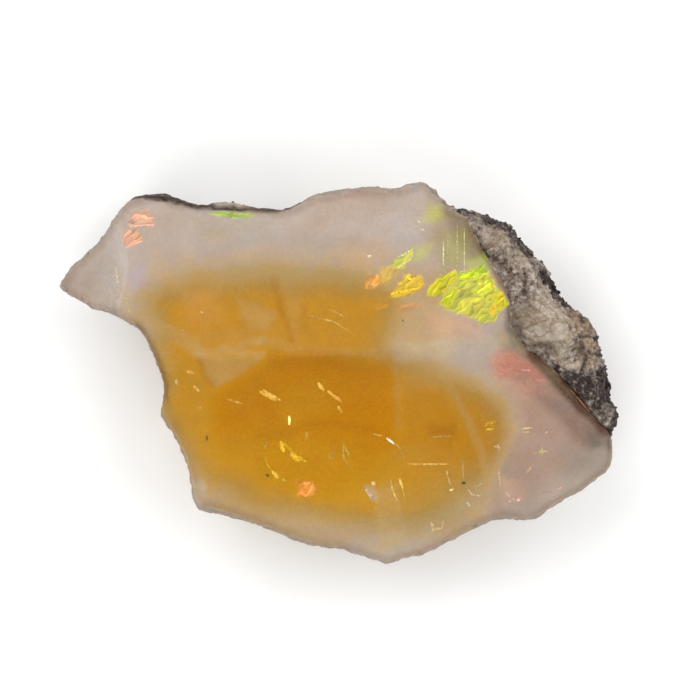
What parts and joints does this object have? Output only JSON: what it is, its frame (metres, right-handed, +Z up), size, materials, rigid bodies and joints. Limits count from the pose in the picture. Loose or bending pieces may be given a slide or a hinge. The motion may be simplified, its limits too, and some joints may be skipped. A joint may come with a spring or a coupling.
{
  "type": "opal in matrix",
  "caption": "Broken slab of honey opal with milky margins and flashes of colour, held by rough brown rock along one side and as a thin rind under it; lies flat on its back.",
  "frame": {"origin": "on the ground under the middle of the stone's box", "axes": "+X along the stone's length towards the rock, +Y across the broken face towards its crown, +Z up out of the broken face"},
  "size_m": [0.0448, 0.0306, 0.0124],
  "materials": {
    "opal": "glassy broken surface, honey core and milky margins",
    "matrix": "rough, pitted and speckled"
  },
  "bodies": {
    "root": {"opal": "opal", "matrix": "matrix"}
  },
  "joints": []
}
